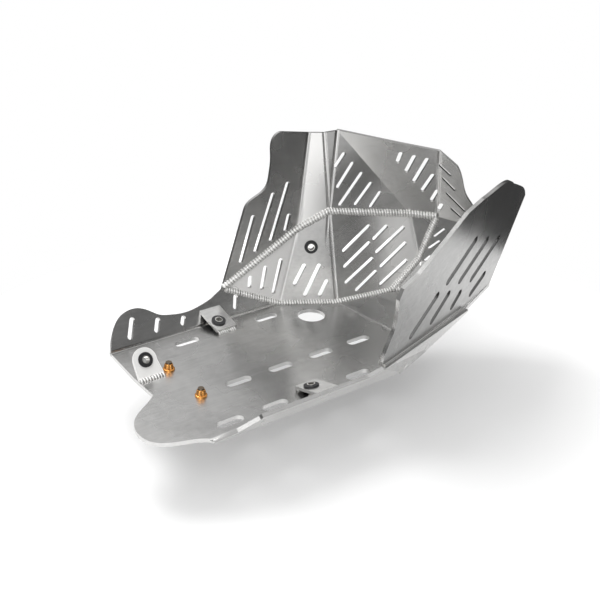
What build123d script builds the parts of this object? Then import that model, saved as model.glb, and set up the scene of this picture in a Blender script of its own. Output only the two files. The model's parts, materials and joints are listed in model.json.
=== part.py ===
"""Motorcycle skid plate: a folded and welded sheet guard with four rubber-bushed tabs.

Millimetres. +X points forward, +Y to the left side, +Z up. The design is laid out
with the top face of the belly at height 0 and the bike's centreline at y = 0, and the
whole guard is moved at the end so that the middle of its underside box is the origin.
"""
import math
import os

from build123d import *

# Sheet and welds
sheet = 4.0                 # thickness of every panel
bead = 3.3                  # radius of a weld bead
thin_bead = 1.6             # radius of the bead outside the right wing

# Belly and its two side flanges
belly_half = 92.5           # centreline to the fold of either flange
flange_lean = 57.0          # flange angle up from the belly
near_high = 17.5            # right flange, measured along its own slant
belly_slot_long = 28.3
belly_slot_wide = 10.4
belly_pitch = 50.0
row_left, row_middle, row_right = 72.4, -23.5, -78.0
drain_x, drain_y, drain_radius = 94.0, 49.0, 15.0
nut_spots = ((-94.0, 33.4), (-94.0, -25.7))

# Slots in the raised panels
slot_wide = 5.0             # left side panels
flange_slot_wide = 5.5
wing_slot_wide = 10.0       # right wing
fine_slot_wide = 3.0        # front panel
corner_slot_wide = 2.3      # upper corner panel

# Rubber-bushed tabs
rubber_outer = 14.8
sleeve_outer = 8.0
sleeve_bore = 6.4           # passes an M6 screw
sleeve_proud = 0.8          # sleeve past the rubber on each side
rubber_proud = 1.4          # rubber past the plate on each side
tab_plate = 3.0
tab_wide = 25.0
tab_middle_x = -3.5
tab_lean = 15.0             # tab angle up from the belly
tab_foot_in = 24.5          # from the flange fold in to the tab's foot
tab_bush_in = 12.0          # from the flange fold in to the bush
tab_bush_x = -6.0
tab_bush_high = 6.8
rear_lug_y = 27.0
rear_lug_foot = (-129.5, -102.5)
rear_lug_round = 12.3       # radius round the bush
rear_bush_high = 19.2       # bush centre along the lug's slant

# Fasteners
nut_flats = 9.0
nut_high = 7.0
nut_collar = 11.8
nut_collar_high = 1.6
screw_shank = 6.0
screw_head = 11.2
screw_head_high = 2.6
screw_past_nut = 1.5

# Corners of the raised panels, on their inner faces
K = (19.0, 110.7, 28.0)              # left flange meets the upper side panel
W1 = (83.0, belly_half, 0.0)         # belly taper starts, left
W2 = (138.0, 59.0, 0.0)              # belly ends and the front floor starts, left
X = (146.0, -73.0, 0.0)              # the same, right
V = (92.0, -belly_half, 0.0)         # belly taper starts, right
W3 = (201.5, 38.1, 7.1)              # floor meets the lower side and the front panel
C1 = (293.3, -25.8, 17.1)            # foot of the front corner
TG = (233.1, -47.1, 10.1)            # wing foot meets the floor
F1 = (106.9, 95.2, 83.6)             # ridge between lower and upper side panels
F2 = (138.3, 80.0, 102.5)
F3 = (227.4, 46.5, 92.1)
F4 = (251.6, 27.3, 89.8)
J = (234.6, 33.1, 39.1)              # knee of the weld down to the floor
Ta = (119.5, 97.3, 189.1)            # folds of the upper side panels, at their top
Tb = (134.2, 89.4, 188.7)
Tc = (148.3, 84.5, 190.2)
Td = (236.6, 17.6, 170.7)
E = (278.6, 0.6, 81.5)               # upper corner panel meets the front panel
B1 = (59.0, -106.0, 20.0)            # wing starts on the right flange
C2 = (324.3, -34.2, 119.7)           # head of the front corner


def unit(v):
    return v / v.length


def facing(points, toward):
    """Plane through the first three points, its normal on the side of the toward vector."""
    a, b, c = (Vector(*p) for p in points[:3])
    n = unit((b - a).cross(c - a))
    if n.dot(Vector(*toward)) < 0:
        n = n * -1
    return Plane(origin=a, x_dir=unit(b - a), z_dir=n)


def drop(plane, point):
    """The point moved square onto the plane."""
    p = Vector(*point)
    return p - plane.z_dir * (p - plane.origin).dot(plane.z_dir)


def outline(plane, stretches):
    """Closed face from stretches of points; 'curve' runs smoothly, 'line' straight."""
    edges = []
    for kind, points in stretches:
        spots = [drop(plane, p) for p in points]
        if kind == "curve":
            edges += list(Spline(*spots).edges())
        else:
            edges += [Line(a, b).edge() for a, b in zip(spots, spots[1:])]
    return Face(Wire(edges))


def panel(plane, stretches, slots=(), wide=slot_wide):
    """Sheet panel that grows along the plane's normal, pierced by slots."""
    solid = extrude(outline(plane, stretches), amount=sheet, dir=plane.z_dir)
    for a, b in slots:
        solid -= slot(plane, a, b, wide)
    return solid


def slot(plane, a, b, wide):
    """Round-ended cutter through the sheet from a to b, its ends outside these points."""
    start, end = drop(plane, a), drop(plane, b)
    along = unit(end - start)
    middle = (start + end) / 2
    spot = Plane(origin=middle, x_dir=along, z_dir=plane.z_dir)
    span = max((end - start).length - wide, 0.5)
    return extrude(spot * SlotCenterToCenter(span, wide), amount=3 * sheet, both=True)


def straight(*points):
    return [("line", list(points) + [points[0]])]


def fold(a, b, n1, n2):
    """Wedge that fills the outside of a fold between two panels with normals n1 and n2."""
    a, b = Vector(*a), Vector(*b)
    middle = unit(n1 + n2)
    reach = sheet / middle.dot(n1)
    corners = [a, a + n1 * sheet, a + middle * reach, a + n2 * sheet]
    plane = Plane(origin=a, z_dir=unit(b - a))
    face = Face(Wire([Line(p, q).edge() for p, q in zip(
        [drop(plane, c) for c in corners], [drop(plane, c) for c in corners[1:] + corners[:1]])]))
    return extrude(face, amount=(b - a).length, dir=unit(b - a))


def join(pieces):
    """One body from pieces that touch or overlap.

    Where faces coincide a fuse can drop a piece, so it is made with the pieces split into
    two steps at several places, and the fullest result is kept.
    """
    bodies = []
    for cut in range(2, len(pieces) + 1):
        body = pieces[0] + pieces[1:cut]
        bodies.append(body + pieces[cut:] if pieces[cut:] else body)
    return max(bodies, key=lambda b: (b.volume, -len(b.solids())))


def folds(*rows):
    """Fold wedges from rows of start, end and the two panel planes."""
    return [fold(a, b, one.z_dir, two.z_dir) for a, b, one, two in rows]


def bead_along(points, radius):
    """Round weld bead along a broken line, with ball knees."""
    spots = [Vector(*p) for p in points]
    pieces = [Plane(origin=(a + b) / 2, z_dir=unit(b - a)) * Cylinder(radius, (b - a).length)
              for a, b in zip(spots, spots[1:])]
    pieces += [Pos(*p) * Sphere(radius) for p in spots[1:-1]]
    return join(pieces) if len(pieces) > 1 else pieces[0]


# Panel planes: the normal is the side toward which the sheet grows
left, right = (0, 1, 0), (0, -1, 0)
lean_y = math.cos(math.radians(flange_lean))
lean_z = math.sin(math.radians(flange_lean))
belly_plane = Plane(origin=(0, 0, 0), z_dir=(0, 0, -1))
floor_plane = facing([W2, X, C1], (0, 0, -1))
left_flange_plane = facing([W1, (0, belly_half, 0), (0, belly_half + lean_y, lean_z)], left)
right_flange_plane = facing([V, (0, -belly_half, 0), (0, -belly_half - lean_y, lean_z)], right)
corner_1_plane = facing([V, X, B1], right)
corner_2_plane = facing([X, TG, B1], right)
side_rear_plane = facing([K, W1, F1], left)
side_lug_plane = facing([W1, W2, F1], left)
side_front_plane = facing([W2, W3, F2], left)
knee_plane = facing([F3, J, F4], left)
upper_1_plane = facing([K, F1, Ta], left)
upper_2_plane = facing([F1, F2, Tb], left)
upper_3_plane = facing([F2, F3, Tc], left)
upper_4_plane = facing([F3, F4, Td], left)
upper_5_plane = facing([F4, E, Td], left)
front_low_plane = facing([W3, J, C1], (1, 1, -1))
front_plane = facing([J, F4, C1], (1, 1, 0))
wing_plane = facing([B1, C1, C2], left)


def left_at(x, slant):
    """Point of the left flange at this x and distance up the slant from the fold."""
    return (x, belly_half + slant * lean_y, slant * lean_z)


def right_at(x, slant):
    return (x, -belly_half - slant * lean_y, slant * lean_z)


def belly():
    plane = belly_plane
    fold_left, fold_right = belly_half, -belly_half
    tail_left = [(-126, fold_left, 0), (-130, 38, 0), (-130.5, 0, 0)]
    tail_right = [(-130.5, 0, 0), (-146, -12, 0), (-165, -27.5, 0), (-173, -46, 0),
                  (-169.5, -67, 0), (-152, -79, 0), (-136, -84.5, 0), (-124, fold_right, 0)]
    solid = panel(plane, [("line", tail_left), ("curve", tail_right),
                          ("line", [tail_right[-1], V, X, W2, W1, tail_left[0]])])
    spots = [(-belly_pitch, row_left), (belly_pitch, row_left)]
    spots += [(n * belly_pitch, row_middle) for n in (-1, 0, 1, 2)]
    spots += [(4 + n * belly_pitch, row_right) for n in (-2, -1, 1)]
    for x, y in spots:
        half = belly_slot_long / 2
        solid -= slot(plane, (x - half, y, 0), (x + half, y, 0), belly_slot_wide)
    solid -= Pos(drain_x, drain_y, 0) * Cylinder(drain_radius, 4 * sheet)
    for x, y in nut_spots:
        solid -= Pos(x, y, 0) * Cylinder(screw_shank / 2, 4 * sheet)
        solid -= Pos(x, y, -sheet + screw_head_high / 2) * screw_cone()
    return solid


def left_flange():
    rear = [left_at(*p) for p in ((-126, 0), (-122.5, 9), (-113, 25), (-105, 33), (-94, 37.5),
                                  (-83, 37), (-72, 31.5), (-63, 25), (-51, 21.5), (-36, 19.5),
                                  (-15, 21.5), (4, 26.5))]
    slots = [((-102, 97, 7), (-92, 108, 25)), ((-71.5, 97, 6), (-64.5, 105, 18)),
             ((-40.5, 96, 6), (-35.5, 101, 14)), ((26, 97, 6), (32.5, 105, 19))]
    return panel(left_flange_plane,
                 [("curve", rear), ("line", [rear[-1], K, W1, rear[0]])], slots,
                 flange_slot_wide)


def right_flange():
    edge = [(-124, 0), (-100.4, 3.5), (-80.5, 14.5), (-79, near_high), (44, near_high)]
    rear = [right_at(*p) for p in edge]
    return panel(right_flange_plane, [("line", rear + [B1, V, rear[0]])])


def base_plate():
    """Belly, side flanges, front floor and the strip that carries the right wing."""
    pieces = [belly(), left_flange(), right_flange(), panel(corner_1_plane, straight(V, X, B1)),
              panel(corner_2_plane, straight(X, TG, B1)),
              panel(floor_plane, straight(W2, W3, C1, TG, X))]
    tail_left, tail_right = (-126, belly_half, 0), (-124, -belly_half, 0)
    return join(pieces + folds((tail_left, W1, belly_plane, left_flange_plane),
                               (tail_right, V, belly_plane, right_flange_plane),
                               (V, X, belly_plane, corner_1_plane),
                               (X, TG, floor_plane, corner_2_plane),
                               (W2, X, belly_plane, floor_plane),
                               (V, B1, right_flange_plane, corner_1_plane),
                               (X, B1, corner_1_plane, corner_2_plane)))


def lower_side_panel():
    rear_slots = [((51, 104, 37), (49, 103, 23)), ((69, 101, 46), (63, 100, 19)),
                  ((87, 97, 52), (76, 96, 12))]
    lug_slots = [((98, 87, 20), (111, 85, 44)), ((107, 79, 7), (125, 76, 44)),
                 ((121, 70, 7), (131, 69, 26))]
    front_slots = [((149, 66, 56), (182, 61, 83)), ((149, 63, 38), (181, 58, 64)),
                   ((149, 59, 20), (183, 53, 46)), ((160, 53, 10), (186, 49, 31)),
                   ((184, 56, 66), (202, 54, 81)), ((186, 52, 51), (221, 46, 78)),
                   ((190, 48, 34), (222, 42, 60)), ((188, 44, 14), (222, 38, 40))]
    pieces = [panel(side_rear_plane, straight(K, W1, F1), rear_slots),
              panel(side_lug_plane, straight(W1, W2, F2, F1), lug_slots),
              panel(side_front_plane, straight(W2, W3, J, F3, F2), front_slots),
              panel(knee_plane, straight(F3, J, F4))]
    solid = join(pieces + folds((W1, F1, side_rear_plane, side_lug_plane),
                                (W2, F2, side_lug_plane, side_front_plane),
                                (J, F3, side_front_plane, knee_plane),
                                (K, W1, left_flange_plane, side_rear_plane),
                                (W1, W2, belly_plane, side_lug_plane),
                                (W2, W3, floor_plane, side_front_plane)))
    return solid - bush_spot_side() * Cylinder(rubber_outer / 2, 6 * sheet)


def upper_shell():
    rear = [K, (46, 109, 113), (54, 108, 123), (63, 107, 128), (71, 105, 135), (75, 105, 148),
            (77, 105, 166), (77, 106, 178), (79, 106, 186), (83, 105, 191), (88, 104, 193)]
    slots_1 = [((40, 108, 53), (56, 107, 106)), ((57, 105, 63), (79, 103, 128)),
               ((75, 101, 73), (96, 100, 138)), ((92, 98, 82), (97, 98, 102))]
    slots_3 = [((145, 82, 150), (156, 80, 166)), ((147, 79, 127), (165, 75, 155)),
               ((149, 76, 107), (175, 71, 143)), ((166, 70, 106), (185, 66, 131)),
               ((183, 64, 102), (195, 61, 120))]
    slots_4 = [((204, 48, 154), (206, 45, 168)), ((213, 43, 143), (218, 36, 165)),
               ((222, 39, 131), (229, 27, 162)), ((231, 34, 120), (238, 25, 143)),
               ((242, 29, 108), (246, 24, 124))]
    slots_5 = [((237, 21, 157), (251, 11, 142)), ((245, 18, 139), (258, 9, 124)),
               ((252, 17, 121), (271, 3, 99)), ((260, 15, 102), (270, 7, 91))]
    head = (253, 5, 154)
    tip = (282, -7, 96)
    corner = panel(upper_5_plane, [("line", [F4, E, tip]),
                                   ("curve", [tip, (273, -3, 109), (267, 1, 120), (262, 2, 133),
                                              (257, 3, 146), head]),
                                   ("line", [head, Td, F4])], slots_5, corner_slot_wide)
    corner -= slot(upper_5_plane, (251.5, 25.5, 97), (253.3, 22.5, 107), slot_wide)
    pieces = [panel(upper_1_plane, [("line", rear[:2]), ("curve", rear[1:]),
                                    ("line", [rear[-1], Ta, F1, K])], slots_1),
              panel(upper_2_plane, straight(F1, F2, Tb, Ta)),
              panel(upper_3_plane, straight(F2, F3, Tc, Tb), slots_3),
              panel(upper_4_plane, straight(F3, F4, Td, (202, 44, 178), Tc), slots_4),
              corner]
    return join(pieces + folds((F1, Ta, upper_1_plane, upper_2_plane),
                               (F2, Tb, upper_2_plane, upper_3_plane),
                               (F3, Tc, upper_3_plane, upper_4_plane),
                               (F4, Td, upper_4_plane, upper_5_plane),
                               (K, F1, side_rear_plane, upper_1_plane),
                               (F1, F2, side_lug_plane, upper_2_plane),
                               (F2, F3, side_front_plane, upper_3_plane),
                               (F3, F4, knee_plane, upper_4_plane),
                               (F4, E, front_plane, upper_5_plane)))


def right_wing():
    rear = [B1, (63, -109, 45), (68, -110, 60), (67, -114, 78), (63, -118, 94)]
    top = [(205, -81, 153), (226, -74, 155), (247, -67, 157), (261, -62, 156), (275, -57, 150)]
    nose = [(275, -57, 150), (300, -46, 139), (318, -38, 128), C2]
    slots = [((152, -83, 65), (106, -92, 30)), ((180, -71, 55), (149, -77, 27)),
             ((211, -58, 43), (194, -61, 25)), ((215, -69, 106), (164, -79, 69)),
             ((248, -55, 94), (196, -66, 57)), ((281, -42, 83), (228, -53, 46)),
             ((269, -38, 42), (238, -46, 23))]
    solid = panel(wing_plane, [("curve", rear),
                               ("line", [rear[-1], (67, -119, 105), (94, -111, 110),
                                         (140, -99, 131), (174, -90, 148), top[0]]),
                               ("curve", top), ("curve", nose),
                               ("line", [C2, C1, TG, B1])], slots, wing_slot_wide)
    fine = [((248, 25, 66), (258, 19, 76)), ((243, 27, 52), (253, 20, 62)),
            ((239, 28, 37), (245, 24, 44))]
    front = [panel(front_plane, straight(J, F4, E, C2, C1), fine, fine_slot_wide),
             panel(front_low_plane, straight(W3, J, C1))]
    return join([solid] + front + folds((C1, J, front_low_plane, front_plane),
                                        (J, F4, knee_plane, front_plane),
                                        (W3, J, side_front_plane, front_low_plane),
                                        (W3, C1, floor_plane, front_low_plane)))


def bush_spot_side():
    """Bush axis in the lower side panel, at the middle of the sheet."""
    centre = drop(side_lug_plane, (118, 84, 63)) + side_lug_plane.z_dir * (sheet / 2)
    return Plane(origin=centre, z_dir=side_lug_plane.z_dir)


def rear_lug_plane():
    """Near face of the rear lug: X along its foot, Y up its slant."""
    lean = math.radians(flange_lean)
    return Plane(origin=(0, rear_lug_y, 0), x_dir=(1, 0, 0),
                 z_dir=(0, -math.sin(lean), math.cos(lean)))


def bush_spot_rear():
    return rear_lug_plane() * Pos(rear_lug_foot[0] + rear_lug_round, rear_bush_high,
                                  -tab_plate / 2)


def bush_spot_tab(side):
    """Bush axis in the middle of a slanted tab; side is +1 left, -1 right."""
    a = math.radians(tab_lean)
    return Plane(origin=(tab_bush_x, side * (belly_half - tab_bush_in), tab_bush_high),
                 x_dir=(1, 0, 0), z_dir=(0, -side * math.sin(a), math.cos(a)))


def rubber_bush(spot, plate):
    """Grommet: a barrel through the plate, with the sleeve's bore left open."""
    long = plate + 2 * rubber_proud
    return spot * (Cylinder(rubber_outer / 2, long) - Cylinder(sleeve_outer / 2, 2 * long))


def sleeve(spot, plate):
    long = plate + 2 * (rubber_proud + sleeve_proud)
    return spot * (Cylinder(sleeve_outer / 2, long) - Cylinder(sleeve_bore / 2, 2 * long))


def rear_lug(floor):
    """Leaning lug, round about its bush and wider at its foot."""
    x0, x1 = rear_lug_foot
    sunk, middle, high = -2 * tab_plate, x0 + rear_lug_round, rear_bush_high
    body = Polygon((x0, sunk), (x1, sunk), (x1, 5), (middle + 0.85 * rear_lug_round, high + 6.3),
                   (middle, high), (x0, high), align=None) + Pos(middle, high) * Circle(rear_lug_round)
    plate = rear_lug_plane() * extrude(body, amount=-tab_plate)
    return plate - bush_spot_rear() * Cylinder(rubber_outer / 2, 4 * tab_plate) - floor


def mid_tab(side, floor):
    """Slanted tab from a low foot on the belly up to the flange, which trims it."""
    spot = bush_spot_tab(side)
    below = (tab_foot_in - tab_bush_in) / math.cos(math.radians(tab_lean))
    above = 2.2 * tab_bush_in
    plate = spot * Pos(tab_middle_x - tab_bush_x, side * (above - below) / 2, 0) * Box(
        tab_wide, above + below, tab_plate)
    return plate - spot * Cylinder(rubber_outer / 2, 4 * tab_plate) - floor


def screw_cone():
    return Cone(screw_head / 2, screw_shank / 2, screw_head_high)


def screw_and_nut(x, y):
    """Countersunk screw from below and the collar nut on top of the belly."""
    foot = -sheet
    tall = sheet + nut_high + screw_past_nut
    screw = Pos(x, y, foot + tall / 2) * Cylinder(screw_shank / 2, tall)
    screw += Pos(x, y, foot + screw_head_high / 2) * screw_cone()
    screw -= Pos(x, y, foot) * extrude(RegularPolygon(2.0, 6, major_radius=False), 1.6)
    nut = Pos(x, y, nut_collar_high / 2) * Cylinder(nut_collar / 2, nut_collar_high)
    hexagon = Rot(0, 0, 15) * RegularPolygon(nut_flats / 2, 6, major_radius=False)
    nut += Pos(x, y, nut_collar_high) * extrude(hexagon, nut_high - nut_collar_high)
    nut -= Pos(x, y, nut_high / 2) * Cylinder(screw_shank / 2, 2 * nut_high)
    return screw, nut


def one_piece(shape):
    """The biggest solid of a cut, without the crumbs beside it."""
    return max(shape.solids(), key=lambda s: s.volume)


def weld(points, radius, others):
    """Bead along the points, with everything it would run into cut away."""
    solid = bead_along(points, radius)
    for other in others:
        solid -= other
    return one_piece(solid)


def between(a, b, share):
    """Point at this share of the way from a to b."""
    return Vector(*a) + (Vector(*b) - Vector(*a)) * share


def weld_lines():
    """Name, line and radius of every bead."""
    half = tab_wide / 2 - tab_plate
    wing_in = wing_plane.z_dir * sheet
    foot_y = belly_half - tab_foot_in
    x0, x1 = rear_lug_foot
    lines = {
        "ridge_weld": ([between(K, F1, 0.03), F1, F2, F3, between(F3, F4, 0.97)], bead),
        "floor_weld": ([between(K, W1, 0.07), W1, W2, between(W2, W3, 0.97)], bead),
        "knee_weld": ([between(F4, J, 0.05), J, between(J, W3, 0.97)], bead),
        "front_weld": ([between(W3, C1, 0.05), between(W3, C1, 0.85)], bead),
        "wing_weld": ([between(TG, B1, 0.97) + wing_in, Vector(*TG) + wing_in,
                       between(TG, C1, 0.8) + wing_in], bead),
        "wing_outer_weld": ([between(B1, TG, 0.02), between(B1, TG, 0.98)], thin_bead),
        "rear_lug_weld": ([(x0 + 2, rear_lug_y, 0), (x1 - 1, rear_lug_y, 0)], bead)}
    for side, name in ((1, "left_tab_weld"), (-1, "right_tab_weld")):
        lines[name] = ([(tab_middle_x + e * half, side * foot_y, 0.8) for e in (-1, 1)], bead)
    return lines


def build():
    base = base_plate()
    lower = one_piece(lower_side_panel() - base)
    wing = one_piece(right_wing() - base - lower)
    shell = one_piece(upper_shell() - base - lower - wing)
    nodes = {"base_plate": base, "lower_side_panel": lower, "right_wing": wing,
             "upper_shell": shell}
    nodes["rear_lug"] = one_piece(rear_lug(base))
    nodes["left_tab"] = one_piece(mid_tab(1, base))
    nodes["right_tab"] = one_piece(mid_tab(-1, base))
    spots = {"side": (bush_spot_side(), sheet), "rear": (bush_spot_rear(), tab_plate),
             "left": (bush_spot_tab(1), tab_plate), "right": (bush_spot_tab(-1), tab_plate)}
    for name, (spot, plate) in spots.items():
        nodes[name + "_bush"] = rubber_bush(spot, plate)
        nodes[name + "_sleeve"] = sleeve(spot, plate)
    for name, (points, radius) in weld_lines().items():
        nodes[name] = weld(points, radius, list(nodes.values()))
    screws, nuts = zip(*(screw_and_nut(*spot) for spot in nut_spots))
    nodes["tail_screws"] = Compound(children=[s.solid() for s in screws])
    nodes["tail_nuts"] = Compound(children=[n.solid() for n in nuts])
    return nodes


def main():
    nodes = build()
    box = Compound(children=[Compound(n.wrapped) for n in nodes.values()]).bounding_box()
    shift = Pos(-box.center().X, -box.center().Y, -box.min.Z)
    print("shift", -box.center().X, -box.center().Y, -box.min.Z, "size", box.size)
    os.makedirs("parts", exist_ok=True)
    for name, shape in nodes.items():
        solids = [shift * s for s in shape.solids()]
        print(name, len(solids), [round(s.volume) for s in solids])
        export_step(Compound(children=solids) if len(solids) > 1 else solids[0],
                    "parts/" + name + ".step")


main()
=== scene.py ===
"""Looks of the motorcycle skid plate: satin sheet, rippled weld beads, rubber bushes, gilt nuts."""
import json
import math
import bpy
from mathutils import Matrix, Vector


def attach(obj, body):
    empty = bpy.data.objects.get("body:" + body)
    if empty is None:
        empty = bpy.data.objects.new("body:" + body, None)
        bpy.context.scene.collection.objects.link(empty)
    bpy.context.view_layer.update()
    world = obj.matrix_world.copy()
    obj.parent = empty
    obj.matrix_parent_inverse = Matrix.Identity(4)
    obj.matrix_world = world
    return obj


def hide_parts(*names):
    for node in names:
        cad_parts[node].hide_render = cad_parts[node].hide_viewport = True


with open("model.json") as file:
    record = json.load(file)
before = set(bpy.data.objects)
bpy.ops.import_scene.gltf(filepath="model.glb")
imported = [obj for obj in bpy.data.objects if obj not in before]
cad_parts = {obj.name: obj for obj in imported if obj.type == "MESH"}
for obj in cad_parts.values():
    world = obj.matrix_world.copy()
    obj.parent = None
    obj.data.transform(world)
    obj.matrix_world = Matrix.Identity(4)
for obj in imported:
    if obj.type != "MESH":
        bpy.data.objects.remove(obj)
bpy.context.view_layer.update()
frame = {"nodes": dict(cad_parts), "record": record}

scene = bpy.context.scene
MM = 0.001
# The design is laid out with the belly's top at height 0; this moves it into the row frame
SHIFT = Vector((-76.719, 1.251, 4.0))

# Sizes and corners of the guard in the design's millimetres, as in the part's source
SHEET = 4.0
BELLY_HALF = 92.5
K, W1, W2 = Vector((19, 110.7, 28)), Vector((83, BELLY_HALF, 0)), Vector((138, 59, 0))
W3, C1 = Vector((201.5, 38.1, 7.1)), Vector((293.3, -25.8, 17.1))
TG, J = Vector((233.1, -47.1, 10.1)), Vector((234.6, 33.1, 39.1))
F1, F2 = Vector((106.9, 95.2, 83.6)), Vector((138.3, 80, 102.5))
F3, F4 = Vector((227.4, 46.5, 92.1)), Vector((251.6, 27.3, 89.8))
B1, C2 = Vector((59, -106, 20)), Vector((324.3, -34.2, 119.7))
Ta, Tb = Vector((119.5, 97.3, 189.1)), Vector((134.2, 89.4, 188.7))
Tc, Td = Vector((148.3, 84.5, 190.2)), Vector((236.6, 17.6, 170.7))
X, V = Vector((146, -73, 0)), Vector((92, -BELLY_HALF, 0))
E = Vector((278.6, 0.6, 81.5))
TAIL_X = -170
BENDS = ((W1, F1), (W2, F2), (F1, Ta), (F2, Tb), (F2, Tc), (F4, Td), (F3, J), (W2, X),
         (Vector((TAIL_X, BELLY_HALF, 0)), W1), (Vector((TAIL_X, -BELLY_HALF, 0)), V))

# Panels, each given by three points on it
LEVEL = (Vector((0, 0, 0)), Vector((1, 0, 0)), Vector((0, 1, 0)))
LEFT_FLANGE = (W1, W1 + Vector((-9, 0, 0)), W1 + Vector((0, 54.5, 83.9)))
RIGHT_FLANGE = (V, V + Vector((-9, 0, 0)), V + Vector((0, -54.5, 83.9)))
WING = (B1, C1, C2)
UPPER_CORNER = (F4, E, Td)
SIDE_REAR, SIDE_FRONT = (K, W1, F1), (W2, W3, F2)

# Ends of the slots whose walls are seen edge on; these walls are painted dark as painted shade
WING_SLOTS = (((152, -83, 65), (106, -92, 30)), ((180, -71, 55), (149, -77, 27)),
              ((211, -58, 43), (194, -61, 25)), ((215, -69, 106), (164, -79, 69)),
              ((248, -55, 94), (196, -66, 57)), ((281, -42, 83), (228, -53, 46)),
              ((269, -38, 42), (238, -46, 23)))
CORNER_SLOTS = (((237, 21, 157), (251, 11, 142)), ((245, 18, 139), (258, 9, 124)),
                ((252, 17, 121), (271, 3, 99)), ((260, 15, 102), (270, 7, 91)))

# Panels painted paler (+) or darker (-) than the rest by how each faces the light: painted light
# and shade. Where a row has two lengths, the change grows from the first x in metres to the second.
BASE_PAINTED_SHADES = ((0.245, RIGHT_FLANGE), (0.42, (X, TG, B1)), (-0.3375, LEFT_FLANGE),
              (-0.45, (W2, X, C1)), (-0.75, LEVEL, (-0.04, 0.05)))
LOWER_PAINTED_SHADES = ((0.7, SIDE_REAR), (0.7, SIDE_FRONT, (0.09, 0.14)), (-0.18, (W1, W2, F1)))
LOWER_MATT = ((1.0, SIDE_REAR), (1.0, SIDE_FRONT, (0.09, 0.14)))
WING_PAINTED_SHADES = ((-0.45, WING),)
SHELL_PAINTED_SHADES = ((0.7, (F1, F2, Tb)), (0.42, UPPER_CORNER), (0.245, (F3, F4, Td)),
               (-0.315, (K, F1, Ta)))


def place(point):
    """Design point in metres in the row frame."""
    return (Vector(point) + SHIFT) * MM


def between(a, b, share):
    return a + (b - a) * share


def normal_of(a, b, c):
    return (b - a).cross(c - a).normalized()


class Socket:
    """A shader socket that adds, multiplies and so on as Python numbers do."""
    tree = None

    def __init__(self, socket):
        self.socket = socket

    @classmethod
    def node(cls, kind, out=0, ins=(), **settings):
        """One output of a new node, its inputs set from numbers or linked from sockets."""
        made = cls.tree.nodes.new(kind)
        for key, value in settings.items():
            setattr(made, key, value)
        for key, value in dict(ins).items():
            if isinstance(value, Socket):
                cls.tree.links.new(value.socket, made.inputs[key])
            else:
                made.inputs[key].default_value = value
        return Socket(made.outputs[out])

    def twin(self, out):
        """Another output of the same node."""
        return Socket(self.socket.node.outputs[out])

    @classmethod
    def math(cls, how, first, other=0.0):
        return cls.node("ShaderNodeMath", ins={0: first, 1: other}, operation=how)

    def __add__(self, other):
        return self.math("ADD", self, other)

    def __sub__(self, other):
        return self.math("SUBTRACT", self, other)

    def __rsub__(self, other):
        return self.math("SUBTRACT", other, self)

    def __mul__(self, other):
        return self.math("MULTIPLY", self, other)

    __radd__, __rmul__ = __add__, __mul__

    def size(self):
        return self.math("ABSOLUTE", self)

    def larger(self, other):
        return self.math("MAXIMUM", self, other)

    def smaller(self, other):
        return self.math("MINIMUM", self, other)

    def ramp(self, low, high):
        """0 at low and 1 at high, smooth between."""
        return self.node("ShaderNodeMapRange", ins={0: self, 1: low, 2: high},
                         interpolation_type="SMOOTHSTEP")

    def mix(self, dark, light):
        """Dark where this is 0 and light where it is 1; each is a colour or a socket."""
        ends = [end if isinstance(end, Socket) else (*end, 1) for end in (dark, light)]
        return self.node("ShaderNodeMix", 2, {0: self, 6: ends[0], 7: ends[1]},
                         data_type="RGBA")


node = Socket.node


def vector(how, first, other=(0, 0, 0), out=0):
    """Vector arithmetic; out=1 is its number, such as a length."""
    return node("ShaderNodeVectorMath", out, {0: first, 1: other}, operation=how)


def spot_on_piece():
    return node("ShaderNodeTexCoord", "Object")


def noise(scale, stretch=(1, 1, 1), detail=3.0, rough=0.5):
    """Noise over the piece's own coordinates, stretched."""
    spot = vector("MULTIPLY", spot_on_piece(), stretch)
    return node("ShaderNodeTexNoise", ins={"Vector": spot, "Scale": scale, "Detail": detail,
                                           "Roughness": rough})


def bumped(height, strength, depth, below=None):
    """Bump of this height, on top of the bump below it."""
    ins = {"Strength": strength, "Distance": depth, "Height": height}
    if below:
        ins["Normal"] = below
    return node("ShaderNodeBump", ins=ins)


def material(name, color, rough, metal=0.0, paint=None):
    """Principled material; paint() gives the sockets of what varies."""
    made = bpy.data.materials.new(name)
    made.use_nodes = True
    Socket.tree = made.node_tree
    shader = Socket.tree.nodes["Principled BSDF"]
    shader.inputs["Base Color"].default_value = (*color, 1)
    shader.inputs["Roughness"].default_value = rough
    shader.inputs["Metallic"].default_value = metal
    if paint:
        for key, value in paint().items():
            Socket.tree.links.new(value.socket, shader.inputs[key])
    return made


def away_from(a, b):
    """Distance in metres from the line through two corners."""
    a, b = place(a), place(b)
    arm = vector("SUBTRACT", spot_on_piece(), a)
    return vector("LENGTH", vector("CROSS_PRODUCT", arm, (b - a).normalized()), out=1)


def parallel_to(corners):
    """1 where the surface is parallel to the panel through the corners, 0 where square to it."""
    own_normal = node("ShaderNodeTexCoord", "Normal")
    return vector("DOT_PRODUCT", own_normal, normal_of(*corners), out=1).size()


def weighed(panels):
    """Sum of the weights of the panels that the surface is part of."""
    total = node("ShaderNodeValue")
    for weight, corners, *stretch in panels:
        on_panel = parallel_to(corners).ramp(0.991, 0.997)
        for from_x, to_x in stretch:
            along = node("ShaderNodeSeparateXYZ", "X", {0: spot_on_piece()})
            on_panel = on_panel * along.ramp(from_x, to_x)
        total += on_panel * weight
    return total


def slot_walls(slots, corners):
    """1 on the walls of these slots of the panel through the corners, where painted shade goes."""
    near = None
    for ends in slots:
        a, b = (place(end) for end in ends)
        reach = (b - a).length / 2
        away = vector("DISTANCE", spot_on_piece(), (a + b) / 2, out=1)
        here = 1 - away.ramp(reach, reach + 2 * MM)
        near = here if near is None else near.larger(here)
    return near * (1 - parallel_to(corners).ramp(0.3, 0.7))


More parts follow.
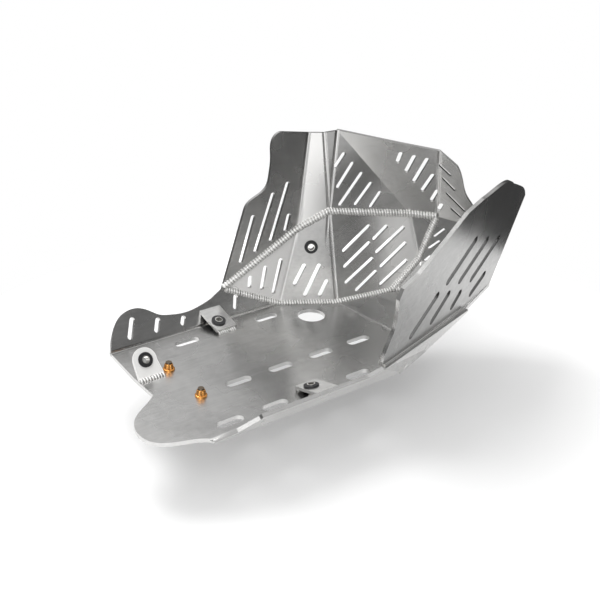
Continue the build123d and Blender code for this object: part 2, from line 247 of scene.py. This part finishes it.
def sheet_paint(tones, matt, slots, corners):
    """Brushed sheet with painted highlights along the fold lines and panels painted paler or darker
    as painted light and shade; matt panels shine less, slot walls are painted dark as painted
    shade.
    """
    brushed = noise(60.0, (0.5, 6.0, 6.0), 4.0, 0.6)
    cloudy = noise(14.0)
    mottled = noise(120.0, detail=2.0)
    fine = noise(900.0, (0.25, 1.0, 1.0), 2.0)
    nearest = away_from(*BENDS[0])
    for bend in BENDS[1:]:
        nearest = nearest.smaller(away_from(*bend))
    # Painted highlight: the sheet is painted lighter along each fold line
    painted_fold_highlight = 1 - nearest.ramp(0.3 * MM, 2.2 * MM)
    grain_and_painted_light = (brushed * 0.3 + cloudy * 0.45 + mottled * 0.25).ramp(0.3, 0.7)
    # Brushed grain plus the painted fold highlights and the painted light and shade of the panels
    grain_and_painted_light = grain_and_painted_light * 0.3 + painted_fold_highlight * 0.6 + 0.35 + weighed(tones)
    color = grain_and_painted_light.mix((0.38, 0.379, 0.374), (0.87, 0.864, 0.852))
    # Painted shade: the slot walls are painted nearly black
    if slots:
        color = slot_walls(slots, corners).mix(color, (0.14, 0.14, 0.138))
    soft_fold = bumped(nearest.ramp(0.0, 3.0 * MM), 0.5, 0.0012)
    painted = {"Base Color": color, "Roughness": cloudy * 0.14 + 0.2,
               "Normal": bumped(fine, 0.06, 0.0004, soft_fold)}
    if matt:
        painted["Metallic"] = 1 - weighed(matt) * 0.78
    return painted


def weld_paint():
    """Bead painted lighter on the crests of its ripples and darker between them: painted highlight
    and painted shade, with some grain.
    """
    grain = noise(400.0)
    crest = node("ShaderNodeAttribute", "Fac", attribute_name="crest")
    crest_light_and_grain = crest.ramp(0.25, 0.95) * 0.75 + grain.ramp(0.3, 0.7) * 0.25
    return {"Base Color": crest_light_and_grain.mix((0.40, 0.397, 0.385), (0.98, 0.975, 0.96)),
            "Roughness": grain * 0.15 + 0.22,
            "Metallic": 1 - crest_light_and_grain * 0.45}


def rubber_paint():
    grain = noise(700.0)
    return {"Roughness": grain * 0.2 + 0.45, "Normal": bumped(grain, 0.15, 0.0003)}


def satin(name, tones=(), matt=(), slots=(), corners=()):
    return material(name, (0.6, 0.6, 0.59), 0.3, 1.0,
                    lambda: sheet_paint(tones, matt, slots, corners))


plain_sheet = satin("satin_sheet")
# The belly, side, wing and shell sheets carry painted light and shade on their panels
base_sheet = satin("satin_belly", BASE_PAINTED_SHADES)
lower_sheet = satin("satin_side", LOWER_PAINTED_SHADES, LOWER_MATT)
wing_sheet = satin("satin_wing", WING_PAINTED_SHADES, (), WING_SLOTS, WING)
shell_sheet = satin("satin_shell", SHELL_PAINTED_SHADES, (), CORNER_SLOTS, UPPER_CORNER)
plain_weld = material("smooth_weld", (0.72, 0.715, 0.70), 0.3, 1.0)
# Rear lug painted near white and barely metallic: a painted bright reflection
pale_lug = material("lug_painted_bright", (0.95, 0.945, 0.93), 0.45, 0.12)
rippled_weld = material("weld_metal", (0.66, 0.66, 0.64), 0.3, 1.0, weld_paint)
rubber = material("black_rubber", (0.018, 0.018, 0.02), 0.55, 0.0, rubber_paint)
bright_sleeve = material("sleeve_steel", (0.78, 0.77, 0.74), 0.25, 1.0)
dark_screw = material("screw_steel", (0.20, 0.16, 0.12), 0.35, 1.0)
gilt = material("gilt_nut", (0.80, 0.37, 0.10), 0.27, 0.9)

looks = {"brushed_sheet": plain_sheet, "weld_metal": rippled_weld, "black_rubber": rubber,
         "sleeve_steel": bright_sleeve, "screw_steel": dark_screw, "orange_nut": gilt}
own_looks = {"rear_lug": pale_lug, "right_wing": wing_sheet, "upper_shell": shell_sheet,
             "base_plate": base_sheet, "lower_side_panel": lower_sheet,
             "wing_outer_weld": plain_weld}
for row in frame["record"]["subparts"]:
    piece = frame["nodes"][row["node"]]
    piece.data.materials.clear()
    piece.data.materials.append(own_looks.get(row["node"], looks[row["material_slot"]]))

# Cut sheet has its sharp edges taken off
for name in ("base_plate", "lower_side_panel", "right_wing", "upper_shell", "rear_lug",
             "left_tab", "right_tab"):
    soft = frame["nodes"][name].modifiers.new("edges", "BEVEL")
    soft.width, soft.segments, soft.limit_method = 0.7 * MM, 2, "ANGLE"
    soft.angle_limit = math.radians(40)
    soft.harden_normals = True


def ripple_tree():
    """Weld bead: a core along the line, with leaning ripples laid on it like stacked coins."""
    tree = bpy.data.node_groups.new("rippled_bead", "GeometryNodeTree")
    for name, kind in (("Line", "Geometry"), ("Radius", "Float"), ("Pitch", "Float"),
                       ("Lean", "Float"), ("Seed", "Int"), ("Metal", "Material")):
        tree.interface.new_socket(name, in_out="INPUT", socket_type="NodeSocket" + kind)
    tree.interface.new_socket("Bead", in_out="OUTPUT", socket_type="NodeSocketGeometry")
    Socket.tree = tree
    line = node("NodeGroupInput", "Line")
    radius, pitch, lean, seed, metal = (
        line.twin(name) for name in ("Radius", "Pitch", "Lean", "Seed", "Metal"))
    curve = node("GeometryNodeMeshToCurve", ins={0: line})
    points = node("GeometryNodeCurveToPoints", 0, {"Curve": curve, "Length": pitch},
                  mode="LENGTH")

    # One ripple, a flat ball that knows how far each of its points is from the middle plane; the
    # weld colour paints highlight and shade from it
    ripple = node("GeometryNodeMeshUVSphere", 0, {"Segments": 16, "Rings": 8, "Radius": 1.0})
    across = node("ShaderNodeSeparateXYZ", "Z", {0: node("GeometryNodeInputPosition")})
    ripple = node("GeometryNodeStoreNamedAttribute", 0,
                  {"Geometry": ripple, "Name": "crest", "Value": 1 - across * across},
                  data_type="FLOAT", domain="POINT")
    ripple = node("GeometryNodeTransform", 0, {"Geometry": ripple, "Scale": (1.0, 1.0, 0.5)})

    lean_by = node("ShaderNodeCombineXYZ", 0, {"X": lean, "Y": lean * 0.4})
    turned = node("FunctionNodeRotateRotation", 0,
                  {"Rotation": points.twin("Rotation"),
                   "Rotate By": node("FunctionNodeEulerToRotation", 0, {0: lean_by})},
                  rotation_space="LOCAL")
    grow = node("FunctionNodeRandomValue", 1, {2: 0.93, 3: 1.04, "Seed": seed},
                data_type="FLOAT")
    scale = grow * radius
    laid = node("GeometryNodeInstanceOnPoints", 0, {
        "Points": points, "Instance": ripple, "Rotation": turned,
        "Scale": node("ShaderNodeCombineXYZ", 0, {"X": scale, "Y": scale, "Z": scale})})
    round_profile = node("GeometryNodeCurvePrimitiveCircle", 0,
                         {"Resolution": 14, "Radius": 1.0}, mode="RADIUS")
    core = node("GeometryNodeCurveToMesh", 0, {
        "Curve": curve, "Profile Curve": round_profile, "Scale": radius * 0.8,
        "Fill Caps": True})
    both = tree.nodes.new("GeometryNodeJoinGeometry")
    for part in (laid, core):
        tree.links.new(part.socket, both.inputs[0])
    solid = node("GeometryNodeRealizeInstances", 0, {0: Socket(both.outputs[0])})
    smooth = node("GeometryNodeSetShadeSmooth", 0, {0: solid})
    done = node("GeometryNodeSetMaterial", 0, {"Geometry": smooth, "Material": metal})
    tree.links.new(done.socket, tree.nodes.new("NodeGroupOutput").inputs[0])
    return tree


RIPPLE_LEAN = 0.3                   # radians


def rippled_bead(tree, name, points, radius, pitch, seed):
    """Rippled bead in the place of a plain weld node."""
    mesh = bpy.data.meshes.new(name + "_line")
    runs = [(i, i + 1) for i in range(len(points) - 1)]
    mesh.from_pydata([place(p) for p in points], runs, [])
    path = bpy.data.objects.new(name + "_line", mesh)
    scene.collection.objects.link(path)
    maker = path.modifiers.new("ripples", "NODES")
    maker.node_group = tree
    given = {"Radius": radius * MM, "Pitch": pitch * MM, "Lean": RIPPLE_LEAN, "Seed": seed,
             "Metal": rippled_weld}
    for item in tree.interface.items_tree:
        if item.in_out == "INPUT" and item.name in given:
            maker[item.identifier] = given[item.name]
    path.update_tag()
    graph = bpy.context.evaluated_depsgraph_get()
    solid = bpy.data.meshes.new_from_object(path.evaluated_get(graph))
    bpy.data.objects.remove(path)
    piece = bpy.data.objects.new(name + "_ripples", solid)
    scene.collection.objects.link(piece)
    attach(piece, "root")
    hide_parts(name)


WING_IN = normal_of(B1, C2, C1) * SHEET
LUG_FOOT_Y = 27
TAB_MIDDLE_X, TAB_FOOT_HALF, TAB_FOOT_Y, TAB_FOOT_HIGH = -3.5, 9.5, BELLY_HALF - 24.5, 0.8


def tab_foot(side):
    return [(TAB_MIDDLE_X + e * TAB_FOOT_HALF, side * TAB_FOOT_Y, TAB_FOOT_HIGH)
            for e in (-1, 1)]


# Weld, radius, distance from ripple to ripple, seed and corners
BEADS = (
    ("ridge_weld", 4.5, 3.3, 2, (between(K, F1, 0.03), F1, F2, F3, between(F3, F4, 0.97))),
    ("floor_weld", 3.8, 3.0, 3, (between(K, W1, 0.07), W1, W2, between(W2, W3, 0.97))),
    ("knee_weld", 4.5, 2.6, 4, (between(F4, J, 0.05), J, between(J, W3, 0.97))),
    ("front_weld", 3.8, 3.0, 5, (between(W3, C1, 0.05), between(W3, C1, 0.85))),
    ("wing_weld", 3.8, 3.0, 6, (between(TG, B1, 0.97) + WING_IN, TG + WING_IN,
                                between(TG, C1, 0.8) + WING_IN)),
    ("rear_lug_weld", 3.6, 2.8, 8, ((-127.5, LUG_FOOT_Y, 0), (-103.5, LUG_FOOT_Y, 0))),
    ("left_tab_weld", 2.7, 2.2, 9, tab_foot(1)),
    ("right_tab_weld", 2.7, 2.2, 9, tab_foot(-1)))
bead_tree = ripple_tree()
for name, radius, pitch, seed, points in BEADS:
    rippled_bead(bead_tree, name, points, radius, pitch, seed)

NUT_SPOTS = ((-94.0, 33.4), (-94.0, -25.7))
# Height above the belly, radius at a point and radius between two points
NUT_ROWS = ((0, 5.9, 5.9), (1.3, 5.9, 5.9), (1.7, 5.3, 5.3), (1.9, 4.9, 4.5), (5.6, 4.3, 3.9),
            (6.6, 3.8, 3.6), (7.0, 3.3, 3.3), (6.6, 3.02, 3.02), (0, 3.02, 3.02))


def gilt_nuts(steps=24):
    """Twelve-pointed collar nuts, narrower at the top, in the place of the plain ones."""
    spots, faces = [], []
    for x, y in NUT_SPOTS:
        start = len(spots)
        for high, tip, dip in NUT_ROWS:
            for i in range(steps):
                a, r = 2 * math.pi * i / steps, dip if i % 2 else tip
                spots.append(place((x + r * math.cos(a), y + r * math.sin(a), high)))
        for row in range(len(NUT_ROWS)):
            low, above = start + row * steps, start + (row + 1) % len(NUT_ROWS) * steps
            for i in range(steps):
                j = (i + 1) % steps
                faces.append((low + i, low + j, above + j, above + i))
    mesh = bpy.data.meshes.new("gilt_nuts")
    mesh.from_pydata(spots, [], faces)
    mesh.materials.append(gilt)
    piece = bpy.data.objects.new("gilt_nuts", mesh)
    scene.collection.objects.link(piece)
    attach(piece, "root")
    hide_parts("tail_nuts")


gilt_nuts()

# Camera at the photo's place
CAMERA_SPOT = (-516.3, -712.0, 492.6)
camera = bpy.data.objects.new("camera", bpy.data.cameras.new("camera"))
scene.collection.objects.link(camera)
right, up = Vector((0.797, -0.603, 0.031)), Vector((0.242, 0.366, 0.899))
back = right.cross(up).normalized()
up = back.cross(right).normalized()
turn = Matrix((right.normalized(), up, back)).transposed().to_4x4()
camera.matrix_world = Matrix.Translation(place(CAMERA_SPOT)) @ turn
camera.data.lens, camera.data.sensor_width = 60.0, 36.0
camera.data.clip_end = 20.0
scene.camera = camera
scene.view_settings.view_transform = "Standard"

# Pale round floor below the hovering guard, in metres. It glows a little for what looks at it,
# more towards its rim, so that it meets the white around it.
FLOOR_DEEP, FLOOR_RIM, FLOOR_RIM_FROM = 0.065, 0.46, 0.2
floor_mesh = bpy.data.meshes.new("floor")
spokes = [math.radians(a) for a in range(0, 360, 5)]
floor_mesh.from_pydata([(FLOOR_RIM * math.cos(a), FLOOR_RIM * math.sin(a), 0) for a in spokes],
                       [], [tuple(range(len(spokes)))])
floor = bpy.data.objects.new("floor", floor_mesh)
scene.collection.objects.link(floor)
floor.location.z = -FLOOR_DEEP
pale = material("pale_floor", (0.85, 0.85, 0.85), 0.9)
camera_sees = node("ShaderNodeLightPath", "Is Camera Ray")
seen = camera_sees.larger(camera_sees.twin("Is Glossy Ray")).larger(
    camera_sees.twin("Is Transmission Ray"))
from_middle = vector("LENGTH", spot_on_piece(), out=1)
floor_glow = seen * (from_middle.ramp(FLOOR_RIM_FROM, FLOOR_RIM) * 0.32 + 0.13)
shader = pale.node_tree.nodes["Principled BSDF"]
shader.inputs["Emission Color"].default_value = (1, 1, 1, 1)
pale.node_tree.links.new(floor_glow.socket, shader.inputs["Emission Strength"])
floor.data.materials.append(pale)

# Studio walls: white for the camera. For the rest they are graded from a dark foot to a light
# top, with light and dark patches: azimuth, height and half width in degrees, and strength.
PATCHES = ((-103, -14, 22, 1.1), (-125, 4, 30, 0.45), (-84, 18, 26, 0.12), (66, 40, 30, 0.25),
           (-59, 31, 45, -0.4), (42, 24, 24, -0.4))
DARKEST_WALL = 0.03
world = bpy.data.worlds.new("studio")
scene.world = world
world.use_nodes = True
Socket.tree = world.node_tree


def patch(azimuth, height, half_width):
    """1 in this direction, falling to 0 at half_width degrees from it."""
    a, h = math.radians(azimuth), math.radians(height)
    toward = (math.cos(a) * math.cos(h), math.sin(a) * math.cos(h), math.sin(h))
    near = vector("DOT_PRODUCT", node("ShaderNodeTexCoord", "Generated"), toward, out=1)
    return near.ramp(math.cos(math.radians(half_width)), 1.0)


up_down = node("ShaderNodeSeparateXYZ", "Z", {0: node("ShaderNodeTexCoord", "Generated")})
walls = up_down.ramp(-0.1, 0.8) * 0.7 + 0.08
for azimuth, height, half_width, strength in PATCHES:
    walls += patch(azimuth, height, half_width) * strength
walls = walls.larger(DARKEST_WALL)
camera_sees = node("ShaderNodeLightPath", "Is Camera Ray")
sky = world.node_tree.nodes["Background"]
sky.inputs["Color"].default_value = (1, 1, 1, 1)
world.node_tree.links.new((camera_sees + (1 - camera_sees) * walls).socket,
                          sky.inputs["Strength"])


def lamp(name, spot, aim, side, power):
    """Square lamp with sides in metres and power in watts."""
    data = bpy.data.lights.new(name, "AREA")
    data.shape, data.size, data.energy = "SQUARE", side, power
    made = bpy.data.objects.new(name, data)
    scene.collection.objects.link(made)
    made.location = spot
    made.rotation_euler = (Vector(aim) - Vector(spot)).to_track_quat("-Z", "Y").to_euler()


lamp("overhead", (-0.3, 0.6, 1.4), (0, 0, 0), 0.8, 11)
lamp("left_fill", (-1.0, -0.85, 0.8), (0.05, 0, 0.05), 1.2, 9)
